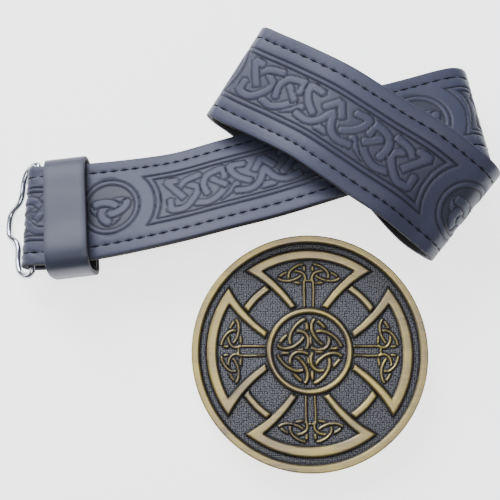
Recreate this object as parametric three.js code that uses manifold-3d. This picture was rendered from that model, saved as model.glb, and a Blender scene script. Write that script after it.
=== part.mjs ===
// Kilt belt: an embossed leather strap wound loosely on itself, with a leather keeper, a chrome wire
// loop held in the strap's folded end, and a round cast buckle lying in front. Millimetres, +Z up.
import * as THREE from 'three';
import * as BufferGeometryUtils from 'three/addons/utils/BufferGeometryUtils.js';
import Module from 'manifold-3d';

const wasm = await Module();
wasm.setup();

// Strap
const strapWidth = 50;
const strapThickness = 3;
const edgeBevel = 0.5;
const strapStep = 5;             // length between sections where the strap is nearly straight
const turnPerStep = 0.2;         // radians between sections round a fold
const tracingStep = 0.5;         // length between the points that trace the strap's middle line

// Wire loop
const wireThickness = 3;
const wireInFoldGap = 0.5;       // leather to wire, inside the fold
const loopSideGap = 2;           // strap edge to wire leg
const loopReach = 17;            // from the bar in the fold to the outer bar
const loopDrop = 29;             // degrees that the loop hangs below level

// Keeper
const keeperBand = 19.5;
const keeperWall = 2;
const keeperFromFold = 17;       // from the bar in the fold to the keeper's middle
const keeperTurn = 7;

// Buckle
const buckleRadius = 54.5;
const rimWidth = 3.9;
const rimHeight = 1.8;
const plateThickness = 2.6;
const bandHeight = 1.4;
const knotHeight = 1.1;
const reliefRoot = 0.4;          // how far the relief reaches into the plate
const reliefTop = 0.72;          // width of a raised strip's top, as a share of its foot
const standHeight = 8;           // floor to the back of the plate
const backStock = 4;             // flat stock of the strap bar and the hook
const backStockThickness = 3;
const slotSpare = 3;             // slot for the strap, wider than the strap by this
const hookReach = 15;
const hookWidth = 8;
const barFromMiddle = 24;
const hookFromMiddle = 26.75;
const buckleAlong = 27.5;        // where the buckle lies, from the point that the strap's lay starts at
const buckleFarEdge = 4.75;

const degrees = Math.PI / 180;

const colours = { leather: 0x5f6673, keeper: 0x666d7b, chrome: 0xd9dde0, brass: 0xa79d74 };

function finish(name) {
  const shine = { leather: [0.45, 0], keeper: [0.45, 0], chrome: [0.12, 1], brass: [0.38, 1] };
  const [roughness, metalness] = shine[name];
  return new THREE.MeshStandardMaterial({ color: colours[name], roughness, metalness });
}

// Closes a row of rings, each with the same number of points, into one body.
// Rings run anticlockwise seen from ahead of the row. A ring row that meets itself has no end caps.
function skin(rings, meetsItself = false) {
  const sides = rings[0].length;
  const places = rings.flat().flatMap((p) => [p.x, p.y, p.z]);
  const faces = [];
  const spans = meetsItself ? rings.length : rings.length - 1;
  for (let i = 0; i < spans; i++) {
    const here = i * sides;
    const next = ((i + 1) % rings.length) * sides;
    for (let k = 0; k < sides; k++) {
      const m = (k + 1) % sides;
      faces.push(here + k, here + m, next + k, here + m, next + m, next + k);
    }
  }
  if (!meetsItself) {
    const last = (rings.length - 1) * sides;
    for (let k = 1; k < sides - 1; k++) {
      faces.push(0, k + 1, k);
      faces.push(last, last + k, last + k + 1);
    }
  }
  const geometry = new THREE.BufferGeometry();
  geometry.setAttribute('position', new THREE.Float32BufferAttribute(places, 3));
  geometry.setIndex(faces);
  return geometry;
}

function toSolid(geometry) {
  let bare = geometry.clone();
  bare.deleteAttribute('normal');
  bare.deleteAttribute('uv');
  bare = BufferGeometryUtils.mergeVertices(bare, 1e-4);
  return new wasm.Manifold(new wasm.Mesh({
    numProp: 3,
    vertProperties: new Float32Array(bare.attributes.position.array),
    triVerts: new Uint32Array(bare.index.array),
  }));
}

function fromSolid(solid) {
  const { vertProperties, triVerts } = solid.getMesh();
  const geometry = new THREE.BufferGeometry();
  geometry.setAttribute('position', new THREE.Float32BufferAttribute(vertProperties, 3));
  geometry.setIndex(Array.from(triVerts));
  return geometry;
}

function piece(name, geometry, material) {
  geometry.computeVertexNormals();
  const mesh = new THREE.Mesh(geometry, finish(material));
  mesh.name = name;
  return mesh;
}

// The strap's width direction, from its far edge to its near edge. Turn swings it in plan, and lean
// lifts the near edge.
function acrossAt(turn, lean) {
  const [t, l] = [turn * degrees, lean * degrees];
  return new THREE.Vector3(Math.sin(t) * Math.cos(l), -Math.cos(t) * Math.cos(l), Math.sin(l));
}

// The strap's lay, in shares of its width, from the folded-back tail to the hidden end. A row is a
// section: its middle, its turn and its lean. A row with a fold is half a turn about an axis through
// that middle: its radius, the side that it bulges to, and whether the strap climbs through it.
const lay = [
  { part: 'tail', x: -1.5, y: 0.3, z: 0.11, turn: 5, lean: 2 },
  { part: 'tail', x: -1.78, y: 0.28, z: 0.13, turn: 4, lean: 5 },
  { part: 'wire fold', x: -2.05, y: 0.27, z: 0.21, turn: 2, lean: 8, fold: 0.07, side: -1, climbs: 1 },
  { part: 'lower', x: -1.84, y: 0.28, z: 0.3, turn: 2, lean: 9 },
  { part: 'lower', x: -1.48, y: 0.31, z: 0.33, turn: 4, lean: 11 },
  { part: 'lower', x: -1.08, y: 0.365, z: 0.36, turn: 8, lean: 16 },
  { part: 'lower', x: -0.66, y: 0.44, z: 0.39, turn: 10, lean: 20 },
  { part: 'lower', x: -0.26, y: 0.54, z: 0.43, turn: 13, lean: 20 },
  { part: 'lower', x: 0.14, y: 0.64, z: 0.47, turn: 14, lean: 19 },
  { part: 'lower', x: 0.51, y: 0.75, z: 0.51, turn: 16, lean: 18 },
  { part: 'lower', x: 0.88, y: 0.87, z: 0.55, turn: 17, lean: 16 },
  { part: 'lower', x: 1.22, y: 0.99, z: 0.58, turn: 15, lean: 15 },
  { part: 'lower', x: 1.58, y: 1.09, z: 0.59, turn: 11, lean: 15 },
  { part: 'right fold', x: 1.99, y: 1.16, z: 0.44, turn: 6, lean: 14, fold: 0.15, side: 1, climbs: -1 },
  { part: 'back', x: 1.52, y: 1.05, z: 0.24, turn: 9, lean: 8 },
  { part: 'back', x: 1.02, y: 1.03, z: 0.17, turn: -10, lean: 2 },
  { part: 'back', x: 0.47, y: 1.28, z: 0.15, turn: -31, lean: -5 },
  { part: 'left fold', x: 0.03, y: 1.555, z: 0.4, turn: -33, lean: -9, fold: 0.19, side: -1, climbs: 1 },
  { part: 'crossing', x: 0.32, y: 1.34, z: 0.68, turn: -32, lean: -7 },
  { part: 'crossing', x: 0.63, y: 1.125, z: 0.79, turn: -33, lean: -4 },
  { part: 'crossing', x: 0.89, y: 0.92, z: 0.85, turn: -34, lean: -3 },
  { part: 'crossing', x: 1.16, y: 0.72, z: 0.87, turn: -34, lean: -4 },
  { part: 'crossing', x: 1.45, y: 0.53, z: 0.85, turn: -36, lean: -7 },
  { part: 'low fold', x: 1.739, y: 0.39, z: 0.49, turn: -39, lean: -11, fold: 0.285, side: 1, climbs: -1 },
  { part: 'end', x: 1.46, y: 0.84, z: 0.11, turn: -48, lean: -3 },
  { part: 'end', x: 1.14, y: 1.22, z: 0.045, turn: -52, lean: 0 },
];

const foldAngles = [-90, -45, 0, 45, 90];

function foldFrame({ turn, lean, side }) {
  const across = acrossAt(turn, lean);
  const outward = new THREE.Vector3(-across.y, across.x, 0).normalize().multiplyScalar(side);
  const upward = new THREE.Vector3().crossVectors(outward, across).multiplyScalar(-side);
  return { across, outward, upward };
}

// The lay's rows as plain sections, in millimetres, with each fold opened into five of them.
function laySections() {
  return lay.flatMap((row) => {
    const middle = new THREE.Vector3(row.x, row.y, row.z).multiplyScalar(strapWidth);
    const { turn, lean } = row;
    if (!row.fold) return [{ x: middle.x, y: middle.y, z: middle.z, turn, lean }];
    const { outward, upward } = foldFrame(row);
    return foldAngles.map((angle) => {
      const a = angle * row.climbs * degrees;
      const spot = middle.clone()
        .addScaledVector(outward, Math.cos(a) * row.fold * strapWidth)
        .addScaledVector(upward, Math.sin(a) * row.fold * strapWidth);
      return { x: spot.x, y: spot.y, z: spot.z, turn, lean };
    });
  });
}

// A smooth curve through a column of the sections, with their running lengths as its knots.
function columnAt(knots, values, at) {
  const last = knots.length - 1;
  let i = 0;
  while (i < last - 1 && at > knots[i + 1]) i++;
  const slope = (k) => {
    const [low, high] = [Math.max(k - 1, 0), Math.min(k + 1, last)];
    return (values[high] - values[low]) / (knots[high] - knots[low]);
  };
  const span = knots[i + 1] - knots[i];
  const u = (at - knots[i]) / span;
  const [u2, u3] = [u * u, u * u * u];
  return (2 * u3 - 3 * u2 + 1) * values[i] + (u3 - 2 * u2 + u) * span * slope(i)
    + (3 * u2 - 2 * u3) * values[i + 1] + (u3 - u2) * span * slope(i + 1);
}

function strapFrames() {
  const sections = laySections();
  const knots = [0];
  for (let i = 1; i < sections.length; i++) {
    const [a, b] = [sections[i - 1], sections[i]];
    knots.push(knots[i - 1] + Math.hypot(b.x - a.x, b.y - a.y, b.z - a.z));
  }
  const columns = ['x', 'y', 'z', 'turn', 'lean'].map((key) => sections.map((row) => row[key]));
  const frameAt = (at) => {
    const [x, y, z, turn, lean] = columns.map((column) => columnAt(knots, column, at));
    return { middle: new THREE.Vector3(x, y, z), across: acrossAt(turn, lean) };
  };
  const total = knots[knots.length - 1];
  const count = Math.ceil(total / tracingStep);
  const fine = Array.from({ length: count + 1 }, (_, i) => frameAt((total * i) / count));
  fine.forEach((frame, i) => {
    const [before, after] = [fine[Math.max(i - 1, 0)], fine[Math.min(i + 1, count)]];
    frame.along = after.middle.clone().sub(before.middle).normalize();
    frame.across.addScaledVector(frame.along, -frame.across.dot(frame.along)).normalize();
    frame.grain = new THREE.Vector3().crossVectors(frame.across, frame.along);
  });
  const kept = [fine[0]];
  let run = 0;
  for (let i = 1; i < count; i++) {
    const latest = kept[kept.length - 1];
    run += fine[i].middle.distanceTo(fine[i - 1].middle);
    if (run >= strapStep || latest.along.angleTo(fine[i].along) >= turnPerStep) {
      kept.push(fine[i]);
      run = 0;
    }
  }
  kept.push(fine[count]);
  return kept;
}

function makeStrap() {
  const [wide, thick] = [strapWidth / 2, strapThickness / 2];
  const corners = [
    [wide - edgeBevel, -thick], [-wide + edgeBevel, -thick], [-wide, -thick + edgeBevel],
    [-wide, thick - edgeBevel], [-wide + edgeBevel, thick], [wide - edgeBevel, thick],
    [wide, thick - edgeBevel], [wide, -thick + edgeBevel],
  ];
  const rings = strapFrames().map(({ middle, across, grain }) => corners.map(([u, v]) =>
    middle.clone().addScaledVector(across, u).addScaledVector(grain, v)));
  return piece('strap', skin(rings), 'leather');
}

const wireFold = lay.find((row) => row.part === 'wire fold');
const barMiddle = new THREE.Vector3(wireFold.x, wireFold.y, wireFold.z).multiplyScalar(strapWidth);
wireFold.fold = (wireThickness / 2 + wireInFoldGap + strapThickness / 2) / strapWidth;

// Half of the hat-shaped loop, from the bar's end to the middle of the outer bar.
// along is a share of the loop's half width, out a share of its reach.
const hatOutline = [
  { along: 0.5, out: 0 }, { along: 0.93, out: 0 }, { along: 1, out: 0.1 }, { along: 0.985, out: 0.28 },
  { along: 0.9, out: 0.46 }, { along: 0.72, out: 0.56 }, { along: 0.48, out: 0.59 },
  { along: 0.34, out: 0.7 }, { along: 0.23, out: 0.92 }, { along: 0.12, out: 1 },
];

function makeWireLoop() {
  const { across, outward, upward } = foldFrame(wireFold);
  const half = strapWidth / 2 + loopSideGap + wireThickness / 2;
  const out = outward.clone().multiplyScalar(Math.cos(loopDrop * degrees))
    .addScaledVector(upward, -Math.sin(loopDrop * degrees));
  const spot = (row, sign) => barMiddle.clone()
    .addScaledVector(across, row.along * half * sign)
    .addScaledVector(out, row.out * loopReach);
  const route = new THREE.CatmullRomCurve3([
    ...hatOutline.map((row) => spot(row, 1)),
    ...hatOutline.slice().reverse().map((row) => spot(row, -1)),
  ], true, 'centripetal');
  const [stations, sides] = [72, 8];
  const flat = new THREE.Vector3().crossVectors(across, out).normalize();
  const rings = Array.from({ length: stations }, (_, i) => {
    const middle = route.getPointAt(i / stations);
    const ahead = route.getTangentAt(i / stations);
    const sideways = new THREE.Vector3().crossVectors(ahead, flat).normalize();
    return Array.from({ length: sides }, (_, k) => {
      const a = (2 * Math.PI * k) / sides;
      return middle.clone()
        .addScaledVector(flat, Math.cos(a) * wireThickness / 2)
        .addScaledVector(sideways, Math.sin(a) * wireThickness / 2);
    });
  });
  return piece('wire_loop', skin(rings, true), 'chrome');
}

// The keeper's outer outline, in shares of the strap's width: out from the strap's middle towards its
// near edge, and up from the floor. It is flat where it rests, and slack beyond the near edge.
const keeperOutline = [
  { out: 0.4, up: 0 }, { out: 0.51, up: 0.02 }, { out: 0.57, up: 0.1 }, { out: 0.595, up: 0.24 },
  { out: 0.595, up: 0.42 }, { out: 0.55, up: 0.535 }, { out: 0.42, up: 0.575 }, { out: 0.1, up: 0.5 },
  { out: -0.2, up: 0.44 }, { out: -0.42, up: 0.39 }, { out: -0.55, up: 0.31 }, { out: -0.59, up: 0.17 },
  { out: -0.565, up: 0.045 }, { out: -0.48, up: 0 }, { out: -0.2, up: 0 }, { out: 0.2, up: 0 },
];

function makeKeeper() {
  const { outward } = foldFrame(wireFold);
  const middle = barMiddle.clone().addScaledVector(outward, -keeperFromFold);
  const across = acrossAt(keeperTurn, 0);
  const along = new THREE.Vector3(-across.y, across.x, 0);
  const outline = new THREE.CatmullRomCurve3(keeperOutline.map(({ out, up }) =>
    new THREE.Vector3(out * strapWidth, up * strapWidth, 0)), true, 'centripetal');
  const stations = 56;
  const rings = Array.from({ length: stations }, (_, i) => {
    const outer = outline.getPointAt(i / stations);
    const heading = outline.getTangentAt(i / stations);
    const inner = new THREE.Vector3(-heading.y, heading.x, 0).multiplyScalar(keeperWall).add(outer);
    const spot = (flat, end) => new THREE.Vector3(middle.x, middle.y, Math.max(flat.y, 0))
      .addScaledVector(across, flat.x)
      .addScaledVector(along, (end * keeperBand) / 2);
    return [spot(outer, -1), spot(outer, 1), spot(inner, 1), spot(inner, -1)];
  });
  return piece('keeper', skin(rings, true), 'keeper');
}

// The rim's section, from its foot to its inner edge: inward in shares of its width, and up in shares
// of the plate and the rim together.
const rimSection = [
  { inward: 0.41, up: 0 }, { inward: 0.1, up: 0.16 }, { inward: 0, up: 0.41 }, { inward: 0.06, up: 0.84 },
  { inward: 0.31, up: 1 }, { inward: 0.67, up: 0.98 },
];

// Relief on the buckle. Points are shares of the buckle's radius, for the arm that points along +Y.
const armBand = { radius: 0.839, width: 0.084, halfAngle: 35 };
const armSide = {
  width: 0.062,
  route: [[0.5, 0.705], [0.42, 0.655], [0.325, 0.58], [0.22, 0.474], [0.13, 0.362]],
};
const ringBand = { radius: 0.644, width: 0.055, from: 33, to: 57 };
const hubBand = { radius: 0.347, width: 0.036 };
const armKnot = { width: 0.019, tips: [[0.055, 0.745], [0.262, 0.62], [0.042, 0.585]] };
const hubKnot = { width: 0.0245, tips: [[-0.042, 0.266], [-0.266, 0.042], [-0.03, 0.03]] };
const stem = { width: 0.014, aside: 0.038, from: 0.36, to: 0.6 };

const onPlate = (x, y) => new THREE.Vector2(x * buckleRadius, y * buckleRadius);

function arcRoute(radius, from, to, steps) {
  return Array.from({ length: steps + 1 }, (_, i) => {
    const a = (from + ((to - from) * i) / steps) * degrees;
    return onPlate(radius * Math.sin(a), radius * Math.cos(a));
  });
}

// A raised strip along a flat route, narrower at its top, with its foot sunk in the plate.
function strip(route, width, height, meetsItself = false) {
  const top = plateThickness + height;
  const foot = plateThickness - reliefRoot;
  const halfFoot = (width * buckleRadius) / 2;
  const halfTop = halfFoot * reliefTop;
  const last = route.length - 1;
  const rings = route.map((spot, i) => {
    const before = route[meetsItself ? (i + last) % (last + 1) : Math.max(i - 1, 0)];
    const after = route[meetsItself ? (i + 1) % (last + 1) : Math.min(i + 1, last)];
    const heading = after.clone().sub(before).normalize();
    const corner = (aside, z) => new THREE.Vector3(spot.x - heading.y * aside, spot.y + heading.x * aside, z);
    return [corner(-halfFoot, foot), corner(halfFoot, foot), corner(halfTop, top), corner(-halfTop, top)];
  });
  return toSolid(skin(rings, meetsItself));
}

// A three-pointed knot is three half circles between its tips, stretched to the triangle of the tips.
function knot({ tips, width }) {
  const places = tips.map(([x, y]) => onPlate(x, y));
  const centre = places[0].clone().add(places[1]).add(places[2]).divideScalar(3);
  const toX = places[1].clone().sub(places[2]).divideScalar(Math.sqrt(3));
  const toY = places[0].clone().sub(centre);
  const steps = 8;
  return [0, 1, 2].map((lobe) => {
    const facing = 90 + 120 * lobe;
    const route = Array.from({ length: steps + 1 }, (_, i) => {
      const a = (facing + 90 - (180 * i) / steps) * degrees;
      const opposite = (facing + 180) * degrees;
      const x = 0.5 * Math.cos(opposite) + (Math.sqrt(3) / 2) * Math.cos(a);
      const y = 0.5 * Math.sin(opposite) + (Math.sqrt(3) / 2) * Math.sin(a);
      return centre.clone().addScaledVector(toX, x).addScaledVector(toY, y);
    });
    return strip(route, width, knotHeight);
  });
}

const mirrored = (points) => points.map(([x, y]) => [-x, y]);

function armRelief() {
  const solids = [strip(arcRoute(armBand.radius, -armBand.halfAngle, armBand.halfAngle, 14),
    armBand.width, bandHeight)];
  solids.push(strip(arcRoute(ringBand.radius, ringBand.from, ringBand.to, 6), ringBand.width, bandHeight));
  for (const side of [1, -1]) {
    const route = armSide.route.map(([x, y]) => onPlate(x * side, y));
    solids.push(strip(route, armSide.width, bandHeight));
    const tips = side > 0 ? armKnot.tips : mirrored(armKnot.tips);
    solids.push(...knot({ tips, width: armKnot.width }));
    const line = [stem.from, stem.to].map((y) => onPlate(stem.aside * side, y));
    solids.push(strip(line, stem.width, knotHeight));
  }
  solids.push(...knot(hubKnot));
  return solids;
}

function box(x0, x1, y0, y1, z0, z1) {
  const geometry = new THREE.BoxGeometry(x1 - x0, y1 - y0, z1 - z0);
  geometry.translate((x0 + x1) / 2, (y0 + y1) / 2, (z0 + z1) / 2);
  return toSolid(geometry);
}

// The cast plate stands on the bar that the strap's end is sewn round and on the hook that fastens
// the belt, both soldered to its back.
function makeBuckle() {
  const r = buckleRadius;
  const crown = plateThickness + rimHeight;
  const rim = rimSection.map(({ inward, up }) => [r - inward * rimWidth, up * crown]);
  const profile = [[0, 0], ...rim, [r - rimWidth, plateThickness], [0, plateThickness]]
    .map(([x, y]) => new THREE.Vector2(x, y));
  const plate = new THREE.LatheGeometry(profile, 80);
  plate.rotateX(Math.PI / 2);
  let solid = toSolid(plate);

  const circle = Array.from({ length: 48 }, (_, i) => {
    const a = (-2 * Math.PI * i) / 48;
    return onPlate(hubBand.radius * Math.cos(a), hubBand.radius * Math.sin(a));
  });
  solid = solid.add(strip(circle, hubBand.width, bandHeight, true));
  for (const arm of [0, 90, 180, 270]) {
    for (const raised of armRelief()) solid = solid.add(raised.rotate([0, 0, arm]));
  }

  const barAt = -barFromMiddle;
  const slotHalf = (strapWidth + slotSpare) / 2;
  const [low, lowTop] = [-standHeight, -standHeight + backStockThickness];
  const barEnds = slotHalf + backStock;
  solid = solid.add(box(barAt - backStock / 2, barAt + backStock / 2, -barEnds, barEnds, low, lowTop));
  for (const side of [-1, 1]) {
    const [y0, y1] = side > 0 ? [slotHalf, barEnds] : [-barEnds, -slotHalf];
    solid = solid.add(box(barAt - backStock / 2, barAt + backStock / 2, y0, y1, low, reliefRoot));
  }
  const [hookStart, hookHalf] = [hookFromMiddle, hookWidth / 2];
  solid = solid.add(box(hookStart, hookStart + backStock, -hookHalf, hookHalf, low, reliefRoot));
  solid = solid.add(box(hookStart, hookStart + hookReach, -hookHalf, hookHalf, low, lowTop));

  const mesh = piece('buckle', fromSolid(solid), 'brass');
  mesh.position.set(buckleAlong, buckleFarEdge - buckleRadius, standHeight);
  return mesh;
}

const belt = new THREE.Group();
belt.add(makeStrap(), makeKeeper(), makeWireLoop(), makeBuckle());

// The origin is on the floor under the middle of the whole belt's box.
belt.updateMatrixWorld(true);
const extent = new THREE.Box3().setFromObject(belt, true);
const middleOfAll = extent.getCenter(new THREE.Vector3());
const group = new THREE.Group();
belt.position.set(-middleOfAll.x, -middleOfAll.y, -extent.min.z);
group.add(belt);

export default group;
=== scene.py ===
import math

import bpy
import numpy as np
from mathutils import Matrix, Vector


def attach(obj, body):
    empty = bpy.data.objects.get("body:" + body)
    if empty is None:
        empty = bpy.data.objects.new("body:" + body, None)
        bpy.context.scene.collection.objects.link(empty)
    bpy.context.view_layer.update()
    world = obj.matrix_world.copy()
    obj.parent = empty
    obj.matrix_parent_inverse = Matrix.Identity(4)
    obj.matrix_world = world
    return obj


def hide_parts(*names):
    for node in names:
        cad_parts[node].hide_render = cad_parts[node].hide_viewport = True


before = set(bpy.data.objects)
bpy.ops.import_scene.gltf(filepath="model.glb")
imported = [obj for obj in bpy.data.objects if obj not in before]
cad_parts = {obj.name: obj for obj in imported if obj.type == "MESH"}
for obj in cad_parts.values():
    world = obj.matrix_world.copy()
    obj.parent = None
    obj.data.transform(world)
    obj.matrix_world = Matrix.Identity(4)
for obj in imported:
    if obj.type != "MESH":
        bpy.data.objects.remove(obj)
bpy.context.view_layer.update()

mm = 0.001

# The view is the photograph's: nearly from above, with the belt's wire loop at the left and the
# buckle at the bottom. The frame is square.
camera_aim = Vector((2.3 * mm, 0, 0))
camera_distance = 370 * mm
camera_height_angle = math.radians(78)
camera_lens = 54.58

back_and_up = Vector((0, -math.cos(camera_height_angle), math.sin(camera_height_angle)))
bpy.ops.object.camera_add(location=camera_aim + camera_distance * back_and_up,
                          rotation=(math.pi / 2 - camera_height_angle, 0, 0))
camera = bpy.context.object
camera.data.lens = camera_lens
camera.data.sensor_width = 36
camera.data.clip_start = 0.01
bpy.context.scene.camera = camera


# The strap is a thick leather strip, embossed on its grain side. It starts with the tail that is folded
# back round the wire loop, runs to the right, and then lies folded three times over and under itself.
strap_width = 50 * mm
strap_thickness = 3 * mm
edge_round = 0.5 * mm
wire_thickness = 3 * mm
wire_in_fold_gap = 0.5 * mm
wire_fold_radius = (wire_thickness / 2 + wire_in_fold_gap + strap_thickness / 2) / strap_width
lay_start = np.array([2.30, -0.03, 0]) * mm

# A row is a section: its middle's x, y and z in shares of the strap's width, and its turn and lean in
# degrees. A fold is half a turn about such a middle, and adds its radius, the side that it bulges to,
# and whether the strap climbs through it.
strap_lay = [
    (-1.5, 0.3, 0.11, 5, 2), (-1.78, 0.28, 0.13, 4, 5),
    (-2.05, 0.27, 0.21, 2, 8, wire_fold_radius, -1, 1),
    (-1.84, 0.28, 0.3, 2, 9), (-1.48, 0.31, 0.33, 4, 11), (-1.08, 0.365, 0.36, 8, 16),
    (-0.66, 0.44, 0.39, 10, 20), (-0.26, 0.54, 0.43, 13, 20), (0.14, 0.64, 0.47, 14, 19),
    (0.51, 0.75, 0.51, 16, 18), (0.88, 0.87, 0.55, 17, 16), (1.22, 0.99, 0.58, 15, 15),
    (1.58, 1.09, 0.59, 11, 15),
    (1.99, 1.16, 0.44, 6, 14, 0.15, 1, -1),
    (1.52, 1.05, 0.24, 9, 8), (1.02, 1.03, 0.17, -10, 2), (0.47, 1.28, 0.15, -31, -5),
    (0.03, 1.555, 0.4, -33, -9, 0.19, -1, 1),
    (0.32, 1.34, 0.68, -32, -7), (0.63, 1.125, 0.79, -33, -4), (0.89, 0.92, 0.85, -34, -3),
    (1.16, 0.72, 0.87, -34, -4), (1.45, 0.53, 0.85, -36, -7),
    (1.739, 0.39, 0.49, -39, -11, 0.285, 1, -1),
    (1.46, 0.84, 0.11, -48, -3), (1.14, 1.22, 0.045, -52, 0),
]


def across_at(turn, lean):
    turn, lean = np.radians(turn), np.radians(lean)
    return np.stack([np.sin(turn) * np.cos(lean), -np.cos(turn) * np.cos(lean), np.sin(lean)], -1)


def fold_frame(turn, lean, side):
    across = across_at(turn, lean)
    outward = np.array([-across[1], across[0], 0])
    outward *= side / np.linalg.norm(outward)
    return across, outward, -side * np.cross(outward, across)


def lay_sections():
    """The lay's rows as plain sections in metres, with each fold opened into five of them."""
    for x, y, z, turn, lean, *fold in strap_lay:
        if not fold:
            yield x * strap_width, y * strap_width, z * strap_width, turn, lean
            continue
        radius, side, climbs = fold
        _, outward, upward = fold_frame(turn, lean, side)
        for angle in np.radians((-90, -45, 0, 45, 90)) * climbs:
            spot = np.array([x, y, z]) + radius * (math.cos(angle) * outward + math.sin(angle) * upward)
            yield *(spot * strap_width), turn, lean


def smooth_through(knots, rows, at):
    """Smooth curves through rows of numbers that lie at the knots."""
    before, after = np.r_[0, 0:len(knots) - 1], np.r_[1:len(knots), len(knots) - 1]
    slopes = (rows[after] - rows[before]) / (knots[after] - knots[before])[:, None]
    i = np.clip(np.searchsorted(knots, at) - 1, 0, len(knots) - 2)
    span = (knots[i + 1] - knots[i])[:, None]
    u = (at - knots[i])[:, None] / span
    return ((2 * u**3 - 3 * u**2 + 1) * rows[i] + (u**3 - 2 * u**2 + u) * span * slopes[i]
            + (3 * u**2 - 2 * u**3) * rows[i + 1] + (u**3 - u**2) * span * slopes[i + 1])


def unit(vectors):
    return vectors / np.linalg.norm(vectors, axis=-1, keepdims=True)


strap_stations = 980
sections = np.array(list(lay_sections()))
knots = np.r_[0, np.cumsum(np.linalg.norm(np.diff(sections[:, :3], axis=0), axis=1))]
laid = smooth_through(knots, sections, np.linspace(0, knots[-1], strap_stations + 1))
strap_middle = laid[:, :3] + lay_start
strap_along = unit(np.gradient(strap_middle, axis=0))
strap_across = across_at(laid[:, 3], laid[:, 4])
strap_across = unit(strap_across - (strap_across * strap_along).sum(1, keepdims=True) * strap_along)
strap_grain = np.cross(strap_across, strap_along)
strap_run = np.r_[0, np.cumsum(np.linalg.norm(np.diff(strap_middle, axis=0), axis=1))]


# The embossing repeats along the strap: a round medallion, then a panel of knotwork whose two halves
# mirror each other. It is pressed round the bands, which stay near the level of the plain leather.
pattern_pitch = 3.0
first_medallion = 1.515
medallion_out, medallion_in = 0.285, 0.232
frame_out, frame_in = 0.27, 0.222
end_arc_out, end_arc_in = 0.435, 0.49
band_half, knot_half = 0.034, 0.038
line_half, line_out = 0.009, 0.006
ground_edge, band_edge, band_out = 0.006, 0.01, 0.002
line_depth, panel_depth, medallion_depth = 0.5 * mm, 0.24 * mm, 0.4 * mm
band_drop, band_dip = 0.02 * mm, 0.05 * mm
panel_shade = 0.38
far_off = 9.0

# Bands of half a panel, each of one or more strokes, in shares of the strap's width: out from the
# panel's middle, and towards the strap's near edge. A later band lies over an earlier one.
panel_bands = [
    [[(0, 0.148), (0.055, 0.15)]],
    [[(0.47, 0.158), (0.36, 0.11), (0.27, 0.05)]],
    [[(0.7, 0.145), (0.573, 0.17), (0.457, 0.12), (0.37, 0.036)]],
    [[(0.92, 0.045), (0.93, 0.165)], [(0.93, 0.165), (0.805, 0.168), (0.7, 0.08), (0.637, -0.018)],
     [(0.637, -0.018), (0.74, -0.09)]],
    [[(0.51, -0.08), (0.375, 0.04)]],
    [[(0.57, 0.085), (0.592, -0.03), (0.55, -0.12), (0.455, -0.152), (0.37, -0.16)],
     [(0.37, -0.16), (0.385, -0.045)]],
    [[(0.843, -0.0625), (0.753, -0.134), (0.6, -0.163)]],
    [[(0.83, -0.155), (0.945, -0.165)], [(0.945, -0.165), (0.79, 0.062)]],
    [[(0.016, -0.05), (0.035, 0.03), (0.085, 0.105), (0.17, 0.148), (0.31, 0.13)]],
    [[(0.17, -0.15), (0.318, -0.165)], [(0.318, -0.165), (0.305, -0.09), (0.25, -0.009), (0.15, 0.065)]],
    [[(0, -0.165), (0.1, -0.035)]],
]
medallion_tips = [(0.168, -0.03), (-0.015, 0.165), (-0.15, -0.035)]


def smooth_line(points, pieces=7):
    """A smooth line through a few points."""
    points = np.array(points, float)
    last = len(points) - 1
    return smooth_through(np.arange(last + 1), points, np.linspace(0, last, pieces * last + 1))


def measure(spots, line, half):
    """Each spot's distance from a line with square ends, and its share of the line's length."""
    start, step = line[:-1], np.diff(line, axis=0)
    length = np.linalg.norm(step, axis=1)
    reach = spots[:, None] - start
    ahead = (reach * step).sum(-1) / length
    aside = np.abs(reach[..., 0] * step[:, 1] - reach[..., 1] * step[:, 0]) / length
    beyond = np.maximum(-ahead, ahead - length)
    gaps = np.hypot(aside, np.maximum(beyond, 0))
    ends = [0, -1]
    square = np.maximum(aside[:, ends], beyond[:, ends] + half)
    gaps[:, ends] = np.where(beyond[:, ends] > 0, square, aside[:, ends])
    best = gaps.argmin(1)
    rows = np.arange(len(spots))
    share = (best + np.clip(ahead[rows, best] / length[best], 0, 1)) / len(step)
    return gaps[rows, best], share


def knot_arcs(tips):
    """The three arcs of a three-pointed knot, each half a circle stretched to the tips' triangle."""
    tips = np.array(tips, float)
    centre = tips.mean(0)
    to_x, to_y = (tips[1] - tips[2]) / math.sqrt(3), tips[0] - centre
    arcs = []
    for lobe in range(3):
        facing = math.radians(90 + 120 * lobe)
        turns = facing + math.pi / 2 - np.linspace(-0.02, 1.02, 19) * math.pi
        x = 0.5 * math.cos(facing + math.pi) + math.sqrt(3) / 2 * np.cos(turns)
        y = 0.5 * math.sin(facing + math.pi) + math.sqrt(3) / 2 * np.sin(turns)
        arcs.append(centre + x[:, None] * to_x + y[:, None] * to_y)
    return arcs


def weave(spots, bands, half, line):
    """How far each spot is outside the topmost band there, or a large number away from them all.
    A band has a level, a tilt by which the level falls along it, and strokes, which join where flat."""
    outside = np.full(len(spots), far_off)
    top = np.full(len(spots), -far_off)
    for level, tilt, strokes in bands:
        for stroke in strokes:
            gap, share = measure(spots, stroke, half)
            past_edge = gap - half
            height = level - tilt * share
            near = gap < half + line
            over = near & (height > top + 1e-9)
            same = near & (np.abs(height - top) <= 0.5) & (tilt == 0)
            joined = np.where(same, np.minimum(outside, past_edge), outside)
            outside = np.where(over & ~same, past_edge, joined)
            top = np.where(over, height, top)
    return outside


def edge_step(distance, width):
    """From 0 to 1 as a distance goes from minus to plus a width."""
    share = np.clip((distance / width + 1) / 2, 0, 1)
    return share * share * (3 - 2 * share)


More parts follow.
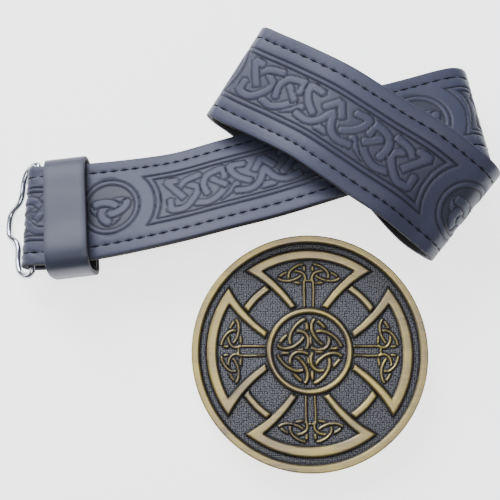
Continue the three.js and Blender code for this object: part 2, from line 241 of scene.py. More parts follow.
panel_woven = [(k, 0, [smooth_line(stroke) for stroke in strokes]) for k, strokes in enumerate(panel_bands)]
medallion_woven = [(0, 2, [arc]) for arc in knot_arcs(medallion_tips)]


def emboss(run, side):
    """Level, and the shares of painted shade in the pressed lines and on the recessed ground, at places along
    and across.
    """
    along = (run - first_medallion + pattern_pitch / 2) % pattern_pitch - pattern_pitch / 2
    from_panel = pattern_pitch / 2 - np.abs(along)
    rho = np.hypot(along, side)
    level, pressed = np.zeros_like(run), np.zeros_like(run)

    in_frame = np.minimum(frame_out - np.abs(side), rho - end_arc_out)
    in_panel = np.minimum(frame_in - np.abs(side), rho - end_arc_in)
    in_ring = medallion_out - rho
    in_medallion = medallion_in - rho
    ground = edge_step(in_panel, ground_edge)
    dish = edge_step(in_medallion, ground_edge)
    level -= panel_depth * ground + medallion_depth * dish
    # Painted shade on the recessed ground: full in the medallions, weaker in the panels.
    recess = dish + panel_shade * ground
    for inside, out, bands, half in ((in_panel, from_panel, panel_woven, band_half),
                                     (in_medallion, along, medallion_woven, knot_half)):
        here = inside > -0.02
        outside = weave(np.stack([out, side], -1)[here], bands, half, line_half * 1.4)
        on_band = edge_step(band_out - outside, band_edge)
        in_line = np.exp(-((outside - line_out) / line_half) ** 2) * (1 - on_band ** 2)
        band_level = -band_drop - band_dip * np.clip(1 + outside / half, 0, 1) ** 4
        level[here] = (level[here] * (1 - on_band) * (1 - in_line)
                       + band_level * on_band - line_depth * in_line)
        pressed[here] = np.maximum(pressed[here], in_line)
        recess[here] *= 1 - on_band
    for inside in (in_frame, in_panel, in_ring, in_medallion):
        line = np.exp(-(inside / line_half) ** 2)
        level = np.minimum(level, -line_depth * line)
        pressed = np.maximum(pressed, line)
    return level, pressed, recess


stitch_line = 0.385
stitch_count = 116
stitch_pitch = strap_run[-1] / stitch_count
hole_radius, hole_depth = 0.5 * mm, 0.5 * mm
furrow_half, furrow_depth = 0.9 * mm, 0.22 * mm


def stitch_press(run, side):
    """The shallow furrow that the stitches lie in, and the hole at each stitch's end."""
    off_line = (np.abs(side) - stitch_line) * strap_width
    off_hole = ((run * strap_width / stitch_pitch + 0.5) % 1 - 0.5) * stitch_pitch
    furrow = np.exp(-(off_line / furrow_half) ** 2)
    hole = np.exp(-(off_line ** 2 + off_hole ** 2) / hole_radius ** 2)
    return furrow_depth * furrow + hole_depth * hole, hole


fold_run, wrinkle_reach, wrinkle_height = 0.5, 0.3, 0.42 * mm


def gather(run, side):
    """The wrinkles of the leather round the wire, which run over the fold and fade past it, and the painted
    shade in their valleys.
    """
    bent = side + 0.05 * np.sin((run - fold_run) * 9) * np.sign(side)
    ridges = np.sin(bent * 58 + 1.1 * np.sin(side * 17)) * (0.35 + 0.65 * np.sin(side * 29 + 2) ** 2)
    fading = np.exp(-((run - fold_run) / wrinkle_reach) ** 2)
    return wrinkle_height * ridges * fading, np.clip(-ridges, 0, 1) ** 2 * fading


half_wide, half_thick = strap_width / 2, strap_thickness / 2
flat_half = half_wide - edge_round


def spaced(*bands):
    """Places from the strap's middle outwards, with a spacing for each band of them, in millimetres."""
    places = [0.0]
    for reach, count in bands:
        places += list(np.linspace(places[-1], reach * mm, count + 1)[1:])
    return places


# Round one section: the grain side, close-set where it is embossed and sewn, then an edge, the back
# and the other edge.
outwards = spaced((14.6, 29), (18.1, 2), (20.4, 5), (24.5, 3))
front = [-v for v in outwards[:0:-1]] + outwards
corner = [(half_wide - edge_round * (1 - math.sin(a)), half_thick - edge_round * (1 - math.cos(a)))
          for a in (math.radians(45), math.radians(90))]
near_edge = corner + [(v, -h) for v, h in reversed(corner)]
back = [(v, -half_thick) for v in np.linspace(flat_half, -flat_half, 13)]
far_edge = [(-v, -h) for v, h in near_edge]
ring = [(v, half_thick) for v in front] + near_edge + back + far_edge
ring.append(ring[0])
ring = np.array(ring)

station, place = np.meshgrid(np.arange(strap_stations + 1), np.arange(len(ring)), indexing="ij")
side = ring[place, 0] / strap_width
run = strap_run[station] / strap_width
on_front = (place < len(front)) | (place == len(ring) - 1)
level, pressed, recess = emboss(run, side)
furrow, hole = stitch_press(run, side)
wrinkle, wrinkle_shade = gather(run, side)
# Painted shade in the wrinkles' valleys, darkened together with the pressed lines.
pressed = np.maximum(pressed, 0.7 * wrinkle_shade)
grain_height = ring[place, 1] + np.where(on_front, level - furrow + wrinkle, 0)
strap_surface = (strap_middle[station] + strap_across[station] * (side * strap_width)[..., None]
                 + strap_grain[station] * grain_height[..., None])


def select_nothing():
    bpy.ops.object.select_all(action="DESELECT")


def in_edit(*steps):
    """Runs edit-mode operators on all of the active piece."""
    bpy.ops.object.mode_set(mode="EDIT")
    bpy.ops.mesh.select_all(action="SELECT")
    for step in steps:
        step()
    bpy.ops.object.mode_set(mode="OBJECT")


def wound_grid(name, rows, columns, surface):
    """A flat grid whose points are laid on a surface, and each point's row and column."""
    select_nothing()
    bpy.ops.mesh.primitive_grid_add(x_subdivisions=rows, y_subdivisions=columns, size=1, calc_uvs=True)
    grid = bpy.context.object
    grid.name = name
    flat = np.empty(len(grid.data.vertices) * 3)
    grid.data.vertices.foreach_get("co", flat)
    flat = flat.reshape(-1, 3)
    i = np.rint((flat[:, 0] + 0.5) * rows).astype(int)
    j = np.rint((flat[:, 1] + 0.5) * columns).astype(int)
    grid.data.vertices.foreach_set("co", surface[i, j].ravel())
    return grid, i, j


def paint(piece, **shares):
    """Stores one number for each of the piece's points, under each name."""
    for name, values in shares.items():
        layer = piece.data.attributes.new(name, "FLOAT", "POINT")
        layer.data.foreach_set("value", np.asarray(values, np.float32).ravel())


merge_distance = 0.001 * mm
strap, i, j = wound_grid("strap_leather", strap_stations, len(ring) - 1, strap_surface)
# The leather is raw on its cut edges and ends, and its back is flesh.
raw = np.zeros(len(ring))
raw[len(front) + 1:len(front) + 3] = 1
raw[-4:-2] = 1
flesh = np.zeros(len(ring))
flesh[len(front) + 4:len(front) + 4 + len(back)] = 1
cut_end = np.zeros(strap_stations + 1)
cut_end[[0, -1]] = 1
paint(strap, pressed=pressed[i, j] * on_front[i, j], recess=recess[i, j] * on_front[i, j],
      hole=hole[i, j] * on_front[i, j], raw=np.maximum(raw[j], cut_end[i]), flesh=flesh[j])
in_edit(lambda: bpy.ops.mesh.remove_doubles(threshold=merge_distance),
        lambda: bpy.ops.mesh.fill_holes(sides=0))
bpy.ops.object.shade_smooth_by_angle(angle=math.radians(50))


class Wire:
    """One output in a material's nodes. Arithmetic on it adds Math nodes."""

    def __init__(self, finish, socket):
        self.finish, self.socket = finish, socket

    def math(self, operation, *values):
        return self.finish.node("Math", {"operation": operation}, dict(enumerate(values)))

    def __add__(self, other):
        return self.math("ADD", self, other)

    def __sub__(self, other):
        return self.math("SUBTRACT", self, other)

    def __rsub__(self, other):
        return self.math("SUBTRACT", other, self)

    def __mul__(self, other):
        return self.math("MULTIPLY", self, other)

    __radd__, __rmul__ = __add__, __mul__

    def other(self, name):
        return Wire(self.finish, self.socket.node.outputs[name])

    def held(self):
        """Kept between 0 and 1."""
        return self.math("MINIMUM", self.math("MAXIMUM", self, 0.0), 1.0)


class Finish:
    """A material under construction."""

    def __init__(self, name):
        self.material = bpy.data.materials.new(name)
        self.material.use_nodes = True
        self.tree = self.material.node_tree
        self.tree.nodes.clear()

    def node(self, kind, settings=None, inputs=None):
        """Adds a node with its settings, then its inputs, and gives its first output."""
        node = self.tree.nodes.new("ShaderNode" + kind)
        for name, value in (settings or {}).items():
            setattr(node, name, value)
        for name, value in (inputs or {}).items():
            if isinstance(value, Wire):
                self.tree.links.new(value.socket, node.inputs[name])
            else:
                node.inputs[name].default_value = value
        shown = [out for out in node.outputs if out.enabled]
        return Wire(self, shown[0]) if shown else None

    def share(self, name):
        return self.node("Attribute", {"attribute_name": name}).other("Fac")

    def noise(self, scale, detail=2.0, roughness=0.5, spot=None):
        inputs = {"Vector": spot or self.spot, "Scale": scale, "Detail": detail, "Roughness": roughness}
        return self.node("TexNoise", {"noise_dimensions": "3D"}, inputs)

    @property
    def spot(self):
        return self.node("TexCoord").other("Object")

    def mix(self, share, a, b):
        """From colour a to colour b."""
        a, b = ((*c, 1) if isinstance(c, tuple) and len(c) == 3 else c for c in (a, b))
        return self.node("Mix", {"data_type": "RGBA"}, {0: share, 6: a, 7: b})

    def bump(self, height, distance, strength=1.0, below=None):
        inputs = {"Height": height, "Distance": distance, "Strength": strength}
        if below:
            inputs["Normal"] = below
        return self.node("Bump", None, inputs)

    def done(self, piece, **inputs):
        named = {name.replace("_", " "): value for name, value in inputs.items()}
        surface = self.node("BsdfPrincipled", None, named)
        self.node("OutputMaterial", None, {"Surface": surface})
        piece.data.materials.clear()
        piece.data.materials.append(self.material)


leather = Finish("embossed leather")
grain = leather.node("TexVoronoi", {"feature": "DISTANCE_TO_EDGE"}, {"Vector": leather.spot, "Scale": 1500.0})
tooth = leather.noise(900.0, 3.0)
cloud = leather.noise(38.0, 4.0, 0.6)
pressed_in, recess_shade_share, hole_shade_share = leather.share("pressed"), leather.share("recess"), leather.share("hole")
groove_shade_tone = (0.006, 0.006, 0.010)
tone = leather.mix(cloud, (0.034, 0.038, 0.066), (0.048, 0.053, 0.089))
# Painted shade on the recessed ground of the panels and medallions.
tone = leather.mix((recess_shade_share * 0.6).held(), tone, (0.020, 0.022, 0.033))
# Painted shade: the pressed lines and the wrinkles' valleys are darkened almost to black.
tone = leather.mix((pressed_in * 0.85).held(), tone, groove_shade_tone)
# Painted shade in the stitch holes.
tone = leather.mix(hole_shade_share.held(), tone, (0.003, 0.003, 0.004))
tone = leather.mix((leather.share("raw") * 0.85).held(), tone, (0.016, 0.015, 0.016))
tone = leather.mix((leather.share("flesh") * 0.9).held(), tone, (0.032, 0.030, 0.031))
uncoated = leather.share("flesh") + leather.share("raw")
rough = (0.40 + cloud * 0.12 + pressed_in * 0.25 + uncoated * 0.35).held()
normal = leather.bump(grain, 0.05 * mm, 0.35)
normal = leather.bump(tooth, 0.12 * mm, 0.5, normal)
leather.done(strap, Base_Color=tone, Roughness=rough, Normal=normal, Specular_IOR_Level=0.35)
strap.data.name = strap.name
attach(strap, "belt")
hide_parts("strap")


# The strap is sewn along both edges in heavy black thread. A stitch shows on each side of the leather
# between two holes, and its ends are pulled into them.
thread_radius = 0.25 * mm
stitch_share = 0.96
stitch_rise = 0.1 * mm

select_nothing()
bpy.ops.mesh.primitive_uv_sphere_add(segments=8, ring_count=7, radius=1)
stitch = bpy.context.object
stitch_form = np.array([tuple(v.co) for v in stitch.data.vertices])
stitch_faces = [tuple(face.vertices) for face in stitch.data.polygons]
bpy.data.objects.remove(stitch)
stitch_form = stitch_form[:, [2, 0, 1]]
stitch_form[:, 0] = np.sign(stitch_form[:, 0]) * np.abs(stitch_form[:, 0]) ** 0.7


def along_strap(run, side, height):
    """Places over the strap: how far along it, how far across, and how far off its middle layer."""
    spot, across, grain_way = (np.stack([np.interp(run, strap_run, rows[:, k]) for k in range(3)], -1)
                               for rows in (strap_middle, strap_across, strap_grain))
    return spot + across * side[..., None] + grain_way * height[..., None]


thread_points = []
for edge in (-1, 1):
    for face_side in (1, -1):
        for number in range(stitch_count - 1):
            middle = (number + 1) * stitch_pitch
            reach = stitch_form[:, 0]
            run_at = middle + reach * stitch_pitch * stitch_share / 2
            side_at = edge * stitch_line * strap_width + stitch_form[:, 1] * thread_radius
            level_at = half_thick - furrow_depth + stitch_rise * (1 - 2.2 * reach ** 4)
            level_at += stitch_form[:, 2] * thread_radius
            thread_points.append(along_strap(run_at, side_at, face_side * level_at))
count = len(stitch_form)
faces = [tuple(k + n * count for k in face) for n in range(len(thread_points)) for face in stitch_faces]
thread_mesh = bpy.data.meshes.new("thread")
thread_mesh.from_pydata(np.concatenate(thread_points).tolist(), [], faces)
thread = bpy.data.objects.new("strap_stitching", thread_mesh)
bpy.context.collection.objects.link(thread)


def make_active(piece):
    select_nothing()
    piece.select_set(True)
    bpy.context.view_layer.objects.active = piece


make_active(thread)
in_edit(lambda: bpy.ops.mesh.normals_make_consistent(inside=False))
bpy.ops.object.shade_smooth()
waxed = Finish("waxed black thread")
twist = waxed.node("TexWave", {"wave_type": "BANDS", "bands_direction": "DIAGONAL"},
                   {"Vector": waxed.spot, "Scale": 700.0, "Distortion": 1.0})
waxed.done(thread, Base_Color=waxed.mix(twist, (0.003, 0.003, 0.004), (0.009, 0.009, 0.011)), Roughness=0.75,
           Specular_IOR_Level=0.2, Normal=waxed.bump(twist, 0.1 * mm, 0.6))
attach(thread, "belt")


# The keeper is a plain leather band, sewn into a ring round both layers of the strap. It is slack,
# and stands up in a shoulder at the strap's near edge.
keeper_band = 19.5 * mm
keeper_wall = 2 * mm
keeper_from_fold = 17 * mm
keeper_turn = 7
keeper_outline = [
    (0.4, 0), (0.51, 0.02), (0.57, 0.1), (0.595, 0.24), (0.595, 0.42), (0.55, 0.535), (0.42, 0.575),
    (0.1, 0.5), (-0.2, 0.44), (-0.42, 0.39), (-0.55, 0.31), (-0.59, 0.17), (-0.565, 0.045),
    (-0.48, 0), (-0.2, 0), (0.2, 0),
]
wire_row = strap_lay[2]
bar_middle = np.array(wire_row[:3]) * strap_width + lay_start
fold_across, fold_outward, fold_upward = fold_frame(wire_row[3], wire_row[4], -1)


fine_steps = 1200


def closed_through(points, count):
    """Evenly spaced places round a closed smooth line, and the line's heading there."""
    points = np.array(points, float)
    wide = np.concatenate([points[-3:], points, points[:4]])
    knots = np.r_[0, np.cumsum(np.sqrt(np.linalg.norm(np.diff(wide, axis=0), axis=1)))]
    fine = smooth_through(knots, wide, np.linspace(knots[3], knots[3 + len(points)], fine_steps))
    run = np.r_[0, np.cumsum(np.linalg.norm(np.diff(fine, axis=0), axis=1))]
    at = np.linspace(0, run[-1], count + 1)
    places = np.stack([np.interp(at, run, fine[:, k]) for k in range(fine.shape[1])], -1)
    heading = np.roll(places[:-1], -1, 0) - np.roll(places[:-1], 1, 0)
    return places, unit(np.concatenate([heading, heading[:1]]))


keeper_rounds = 180
outer, heading = closed_through(keeper_outline, keeper_rounds)
outer[:, 1] = np.maximum(outer[:, 1], 0)
inward = np.stack([-heading[:, 1], heading[:, 0]], -1)
half_band = keeper_band / 2
lip = 0.45 * mm
keeper_section = [(-half_band + lip, 0)]
keeper_section += [(v, 0) for v in np.linspace(-half_band + lip, half_band - lip, 9)[1:]]
keeper_section += [(half_band - lip * 0.3, lip * 0.3), (half_band, lip), (half_band, keeper_wall - lip),
                   (half_band - lip * 0.3, keeper_wall - lip * 0.3)]
keeper_section += [(v, keeper_wall) for v in np.linspace(half_band - lip, -half_band + lip, 4)]
keeper_section += [(-half_band + lip * 0.3, keeper_wall - lip * 0.3), (-half_band, keeper_wall - lip),
                   (-half_band, lip), (-half_band + lip * 0.3, lip * 0.3), (-half_band + lip, 0)]
keeper_section = np.array(keeper_section)
keeper_across = across_at(keeper_turn, 0)
keeper_along = np.array([-keeper_across[1], keeper_across[0], 0])
keeper_middle = bar_middle - fold_outward * keeper_from_fold
flat = outer[:, None] * strap_width + inward[:, None] * keeper_section[None, :, 1, None]
flat[..., 1] = np.maximum(flat[..., 1], 0)
keeper_surface = (np.array([keeper_middle[0], keeper_middle[1], 0]) + keeper_across * flat[..., :1]
                  + keeper_along * keeper_section[None, :, :1] + np.array([0, 0, 1]) * flat[..., 1:])
keeper, i, j = wound_grid("keeper_leather", keeper_rounds, len(keeper_section) - 1, keeper_surface)
cut_edge = np.clip((np.abs(keeper_section[:, 0]) - half_band + lip * 0.5) / (lip * 0.4), 0, 1)
paint(keeper, raw=cut_edge[j], flesh=(keeper_section[j, 1] > keeper_wall * 0.9).astype(float))
in_edit(lambda: bpy.ops.mesh.remove_doubles(threshold=merge_distance),
        lambda: bpy.ops.mesh.normals_make_consistent(inside=False))
bpy.ops.object.shade_smooth_by_angle(angle=math.radians(50))

smooth_leather = Finish("smooth leather")
cloud = smooth_leather.noise(55.0, 4.0, 0.6)
pores = smooth_leather.noise(1300.0, 2.0)
tone = smooth_leather.mix(cloud, (0.029, 0.032, 0.054), (0.042, 0.046, 0.074))
tone = smooth_leather.mix((smooth_leather.share("raw") * 0.8).held(), tone, (0.045, 0.042, 0.042))
tone = smooth_leather.mix((smooth_leather.share("flesh") * 0.9).held(), tone, (0.03, 0.028, 0.03))
uncoated = smooth_leather.share("flesh") + smooth_leather.share("raw")
rough = (0.36 + cloud * 0.14 + uncoated * 0.35).held()
smooth_leather.done(keeper, Base_Color=tone, Roughness=rough, Specular_IOR_Level=0.4,
                    Normal=smooth_leather.bump(pores, 0.08 * mm, 0.35))
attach(keeper, "belt")
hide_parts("keeper")


# The wire loop is bent from chromed steel wire into a hat shape and closed. Its straight side turns
# in the strap's fold.
loop_side_gap = 2 * mm
loop_reach = 17 * mm
loop_drop = math.radians(29)
hat_outline = [(0.5, 0), (0.93, 0), (1, 0.1), (0.985, 0.28), (0.9, 0.46), (0.72, 0.56), (0.48, 0.59),
               (0.34, 0.7), (0.23, 0.92), (0.12, 1)]
wire_rounds, wire_sides = 260, 16
half_loop = strap_width / 2 + loop_side_gap + wire_thickness / 2
loop_out = fold_outward * math.cos(loop_drop) - fold_upward * math.sin(loop_drop)
hat = hat_outline + [(-along, out) for along, out in reversed(hat_outline)]
hat = [(along * half_loop, out * loop_reach) for along, out in hat]
wire_line, wire_heading = closed_through(hat, wire_rounds)
wire_side = np.stack([wire_heading[:, 1], -wire_heading[:, 0]], -1)
turns = np.linspace(0, 2 * math.pi, wire_sides + 1)
aside = wire_side[:, None] * (np.cos(turns) * wire_thickness / 2)[None, :, None] + wire_line[:, None]
lift = np.sin(turns) * wire_thickness / 2
loop_flat = np.cross(fold_across, loop_out)
wire_surface = (bar_middle + fold_across * aside[..., :1] + loop_out * aside[..., 1:]
                + loop_flat * lift[None, :, None])
wire, _, _ = wound_grid("loop_wire", wire_rounds, wire_sides, wire_surface)
in_edit(lambda: bpy.ops.mesh.remove_doubles(threshold=merge_distance),
        lambda: bpy.ops.mesh.normals_make_consistent(inside=False))
bpy.ops.object.shade_smooth()
chrome = Finish("chromed wire")
wipe = chrome.noise(160.0, 3.0)
chrome.done(wire, Base_Color=chrome.mix(wipe, (0.40, 0.42, 0.46), (0.56, 0.58, 0.63)), Metallic=1.0,
            Roughness=(0.08 + wipe * 0.12).held(),
            Normal=chrome.bump(chrome.noise(420.0, 2.0), 0.015 * mm, 0.2))
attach(wire, "loop")
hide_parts("wire_loop")


# The buckle is a heavy round casting with a rim, four curved arms round a hub and knotwork, all
# raised from a ground of fine bumps. It is plated in antique brass and brushed on the raised parts.
buckle_radius = 54.5 * mm
plate_thickness = 2.6 * mm
rim_width, rim_height = 0.073, 1.8 * mm
band_height, knot_height = 1.4 * mm, 1.0 * mm
stand_height = 8 * mm
buckle_far_edge, buckle_along = 4.75 * mm, 27.5 * mm
buckle_middle = np.array([buckle_along, buckle_far_edge - buckle_radius, stand_height]) + lay_start

# Reaches, half widths and spots in shares of the buckle's radius. The side line is one arm's right
# side, the arm pointing up, and the tips are those of the three-pointed knots.
arm_reach, arm_band_half = 0.829, 0.047
arm_side_half, arm_tip_half = 0.031, 0.043
arm_side_line = [(0.6, 0.765), (0.5, 0.705), (0.42, 0.655), (0.325, 0.58), (0.22, 0.474), (0.13, 0.362)]
ring_reach, ring_half = 0.642, 0.033
hub_reach, hub_half = 0.341, 0.026
arm_tips = [(0.055, 0.745), (0.262, 0.62), (0.042, 0.585)]
hub_tips = [(-0.042, 0.266), (-0.266, 0.042), (-0.022, 0.022)]
stem_line = [(-0.038, 0.375), (-0.038, 0.578), (0, 0.6), (0.038, 0.578), (0.038, 0.375)]
fine_half, hub_knot_half, stem_half = 0.0125, 0.0165, 0.0105
arm_end_way, arm_end = (0.45, 1.0), 0.385
bevel, ring_gap, foot_reach = 0.012, 0.004, 0.012
hub_inside, arm_inside = 0.33, 0.8


def signed_gap(spots, line):
    """How far each spot lies on the outer side of an open line."""
    start, step = line[:-1], np.diff(line, axis=0)
    length = np.linalg.norm(step, axis=1)
    reach = spots[:, None] - start
    share = np.clip((reach * step).sum(-1) / length ** 2, 0, 1)
    gaps = np.linalg.norm(reach - share[..., None] * step, axis=-1)
    best = gaps.argmin(1)
    rows = np.arange(len(spots))
    turn = step[best, 0] * reach[rows, best, 1] - step[best, 1] * reach[rows, best, 0]
    return np.sign(turn) * gaps[rows, best]


def quarter_turned(spots, to_arm):
    """Spots turned by quarters into the arm that points up, or into the upper left quarter."""
    angle = np.degrees(np.arctan2(spots[:, 1], spots[:, 0]))
    first = 45 if to_arm else 90
    quarters = np.floor((angle - first) / 90)
    back = -np.radians(quarters * 90)
    return np.stack([spots[:, 0] * np.cos(back) - spots[:, 1] * np.sin(back),
                     spots[:, 0] * np.sin(back) + spots[:, 1] * np.cos(back)], -1)


def mirror(points):
    return [(-x, y) for x, y in points]


def crown(inside, half, height):
    """A raised band's height from how far inside its edge a spot is: bevelled, with a low dome."""
    dome = 0.82 + 0.18 * (1 - np.clip(1 - inside / half, 0, 1) ** 2)
    return height * edge_step(inside - bevel * 0.5, bevel * 0.5) * dome


def buckle_relief(spots):
    """Height over the ground, the share of it that is raised, and how near a raised foot a spot is."""
    rho = np.linalg.norm(spots, axis=1)
    arm = quarter_turned(spots, True)
    folded = np.stack([np.abs(arm[:, 0]), arm[:, 1]], -1)
    outside = signed_gap(folded, smooth_line(arm_side_line))
    side_half = arm_side_half + (arm_tip_half - arm_side_half) * np.clip((rho - 0.4) / 0.4, 0, 1)
    past_end = (folded * unit(np.array(arm_end_way))).sum(1) - arm_end
    in_outline = np.minimum(np.minimum(arm_reach + arm_band_half - rho, side_half - outside), past_end)
    in_hollow = np.minimum(arm_reach - arm_band_half - rho, -side_half - outside)
    in_arm = np.minimum(in_outline, -in_hollow)
    in_ring = np.minimum(ring_half - np.abs(rho - ring_reach), -ring_gap - in_arm)
    in_ring = np.where(outside > 0, in_ring, -1)
    in_hub = hub_half - np.abs(rho - hub_reach)
    in_rim = rho - (1 - rim_width)

    height, raised, foot = np.zeros(len(spots)), np.zeros(len(spots)), np.ones(len(spots))
    for inside, half, high in ((in_arm, arm_side_half, band_height), (in_ring, ring_half, band_height),
                               (in_hub, hub_half, band_height), (in_rim, rim_width * 0.4, rim_height)):
        height = np.maximum(height, crown(inside, half, high))
        raised = np.maximum(raised, edge_step(inside - 0.005, 0.004))
        foot = np.minimum(foot, np.abs(inside))

    near = (rho > hub_inside) & (rho < arm_inside)
    knots = [(0, 2, [arc]) for tips in (arm_tips, mirror(arm_tips)) for arc in knot_arcs(tips)]
    hub_knots = [(0, 2, [arc]) for arc in knot_arcs(hub_tips)]
    for where, field, bands, half, high in (
            (near, arm, [(1, 0, [smooth_line(stem_line)])], stem_half, knot_height * 0.8),
            (near, arm, knots, fine_half, knot_height * 0.9),
            (rho < hub_inside, quarter_turned(spots, False), hub_knots, hub_knot_half, knot_height * 1.2)):
        gap = weave(field[where], bands, half, half * 0.85)
        height[where] = np.maximum(height[where], high * np.sqrt(np.clip(-gap / half, 0, 1)))
        raised[where] = np.maximum(raised[where], edge_step(-0.003 - gap, 0.004))
        foot[where] = np.minimum(foot[where], np.abs(gap))
    return height, raised, np.exp(-(foot / foot_reach) ** 2) * (1 - raised)


buckle_cells = 300
edge_rows = 6
# A square grid is drawn out into a round one. Its outer rows go down the edge, and the rest of it is
# the face.
steps = np.linspace(-1, 1, buckle_cells + 1)
a, b = np.meshgrid(steps, steps, indexing="ij")
reach = np.maximum(np.abs(a), np.abs(b))
with np.errstate(divide="ignore", invalid="ignore"):
    turn = np.where(np.abs(a) >= np.abs(b), math.pi / 4 * b / a, math.pi / 2 - math.pi / 4 * a / b)
turn = np.nan_to_num(turn) + np.where(np.where(np.abs(a) >= np.abs(b), a, b) < 0, math.pi, 0)
rows_in = np.rint((1 - reach) * buckle_cells / 2)
top_reach = np.clip(reach / (1 - 2 * edge_rows / buckle_cells), 0, 1)
crest = 0.992
spots = np.stack([np.cos(turn), np.sin(turn)], -1).reshape(-1, 2) * (top_reach.reshape(-1, 1) * crest)
relief, raised_there, crevice = (field.reshape(a.shape) for field in buckle_relief(spots))
# The edge's rows from the underside up: reach, and height in shares of the rim's whole height.
edge_profile = [(0.965, 0.0), (0.985, 0.12), (0.997, 0.35), (1.0, 0.55), (0.999, 0.78), (0.996, 0.93)]
full = plate_thickness + rim_height
rho = top_reach * crest
z = plate_thickness + relief
for row, (out, up) in enumerate(edge_profile):
    rho = np.where(rows_in == row, out, rho)
    z = np.where(rows_in == row, up * full, z)
buckle_surface = np.stack([rho * np.cos(turn), rho * np.sin(turn)], -1) * buckle_radius
buckle_surface = np.concatenate([buckle_surface, z[..., None]], -1) + buckle_middle
buckle, i, j = wound_grid("buckle_casting", buckle_cells, buckle_cells, buckle_surface)
paint(buckle, raised=raised_there[i, j], crevice=crevice[i, j])
in_edit(lambda: bpy.ops.mesh.fill_holes(sides=0), lambda: bpy.ops.mesh.normals_make_consistent(inside=False))
bpy.ops.object.shade_smooth_by_angle(angle=math.radians(60))

brass = Finish("antique brass")
raised_share = brass.share("raised")
local = brass.node("Mapping", {"vector_type": "POINT"},
                   {"Vector": brass.spot, "Location": tuple(-buckle_middle)})
beads = brass.node("TexVoronoi", {"feature": "F1", "distance": "EUCLIDEAN"},
                   {"Vector": local, "Scale": 1250.0, "Randomness": 0.45})
cloud = brass.noise(45.0, 4.0, 0.6, local)
brushed = brass.node("Mapping", {"vector_type": "POINT"}, {"Vector": local, "Scale": (60.0, 900.0, 60.0)})
brushing = brass.noise(1.0, 3.0, 0.6, brushed)
bright = brass.mix(((cloud - 0.38) * 3.2).held(), (0.20, 0.165, 0.115), (0.40, 0.325, 0.115))
bright = brass.mix(((brushing - 0.4) * 1.2).held(), bright, (0.48, 0.38, 0.15))
ground_tone = brass.mix(((beads - 0.12) * 2.2).held(), (0.26, 0.26, 0.275), (0.030, 0.030, 0.038))
tone = brass.mix(raised_share, ground_tone, bright)
tone = brass.mix((brass.share("crevice") * 0.95).held(), tone, (0.006, 0.006, 0.008))
normal = brass.bump((1 - beads) * (1 - raised_share), 0.3 * mm, 0.9)
normal = brass.bump(brushing * raised_share, 0.04 * mm, 0.5, normal)
brass.done(buckle, Base_Color=tone, Metallic=(0.72 + raised_share * 0.22).held(),
           Roughness=(0.46 - raised_share * 0.12 + cloud * 0.06).held(), Normal=normal)
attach(buckle, "belt")
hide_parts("buckle")


# Behind the casting a flat bar on two posts takes the sewn end of a strap, and a hook on one post
# takes the wire loop. Both are soldered on.
back_stock = 4 * mm
back_stock_thickness = 3 * mm
slot_half = (strap_width + 3 * mm) / 2
bar_from_middle, hook_from_middle = 24 * mm, 26.75 * mm
hook_reach, hook_width = 15 * mm, 8 * mm
bar_end = slot_half + back_stock
sunk = 0.4 * mm
bar_span = (-bar_from_middle - back_stock / 2, -bar_from_middle + back_stock / 2)
hook_span = (-hook_width / 2, hook_width / 2)
post_rise = (-stand_height, sunk)
flat_rise = (-stand_height, -stand_height + back_stock_thickness)
fitting_blocks = [
    (bar_span, (-bar_end, bar_end), flat_rise),
    (bar_span, (-bar_end, -slot_half), post_rise),
    (bar_span, (slot_half, bar_end), post_rise),
    ((hook_from_middle, hook_from_middle + back_stock), hook_span, post_rise),
    ((hook_from_middle, hook_from_middle + hook_reach), hook_span, flat_rise),
]
blocks = []
for block in fitting_blocks:
    low, high = np.array(block).T
    select_nothing()
    bpy.ops.mesh.primitive_cube_add(size=1, location=tuple((low + high) / 2 + buckle_middle))
    piece = bpy.context.object
    piece.scale = tuple(high - low)
    bpy.ops.object.transform_apply(location=True, rotation=True, scale=True)
    blocks.append(piece)
select_nothing()
for piece in blocks:
    piece.select_set(True)
bpy.context.view_layer.objects.active = blocks[0]
bpy.ops.object.join()
fittings = bpy.context.object
fittings.name = "buckle_fittings"
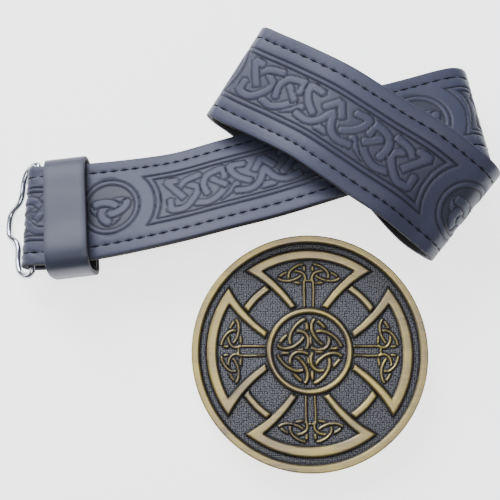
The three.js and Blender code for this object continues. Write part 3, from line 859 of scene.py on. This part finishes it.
for kind, settings in (("REMESH", {"mode": "VOXEL", "voxel_size": 0.35 * mm}),
                       ("SMOOTH", {"factor": 0.5, "iterations": 3})):
    modifier = fittings.modifiers.new(kind.lower(), kind)
    for name, value in settings.items():
        setattr(modifier, name, value)
    bpy.ops.object.modifier_apply(modifier=modifier.name)
bpy.ops.object.shade_smooth_by_angle(angle=math.radians(40))
plain_brass = Finish("cast brass back")
cloud = plain_brass.noise(90.0, 4.0, 0.6)
plain_brass.done(fittings, Base_Color=plain_brass.mix(cloud, (0.10, 0.09, 0.07), (0.36, 0.30, 0.18)),
                 Metallic=0.9, Roughness=(0.35 + cloud * 0.2).held(),
                 Normal=plain_brass.bump(plain_brass.noise(700.0, 3.0), 0.06 * mm, 0.5))
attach(fittings, "belt")


# The studio: a plain pale floor, soft light from all round, and three soft boxes. The brightest one
# stands behind the belt, so that the leather shines where it faces up and darkens where it turns down.
select_nothing()
bpy.ops.mesh.primitive_plane_add(size=16, location=(0, 0, -0.05 * mm))
floor = bpy.context.object
floor.name = "floor"
pale = Finish("pale floor")
pale.done(floor, Base_Color=(0.88, 0.88, 0.88, 1), Roughness=0.9,
          Emission_Color=(1, 1, 1, 1), Emission_Strength=2.2)

world = bpy.data.worlds.new("studio")
world.use_nodes = True
world.node_tree.nodes["Background"].inputs["Color"].default_value = (0.95, 0.97, 1, 1)
world.node_tree.nodes["Background"].inputs["Strength"].default_value = 0.26
bpy.context.scene.world = world


def softbox(name, place, aim, size, power, colour=(1, 1, 1)):
    turned = (Vector(aim) - Vector(place)).to_track_quat("-Z", "Y").to_euler()
    bpy.ops.object.light_add(type="AREA", location=place, rotation=turned)
    light = bpy.context.object
    light.name = name
    light.data.shape, light.data.size, light.data.size_y = "RECTANGLE", size, size
    light.data.energy, light.data.color = power, colour


softbox("key light", (-0.36, 0.72, 0.6), (0, 0, 0), 0.6, 14.5, (0.86, 0.90, 1))
softbox("top light", (0.05, 0, 1), (0.02, -0.06, 0), 0.5, 3.4)
softbox("side light", (-0.8, 0.1, 0.35), (0, 0, 0.02), 0.35, 2)
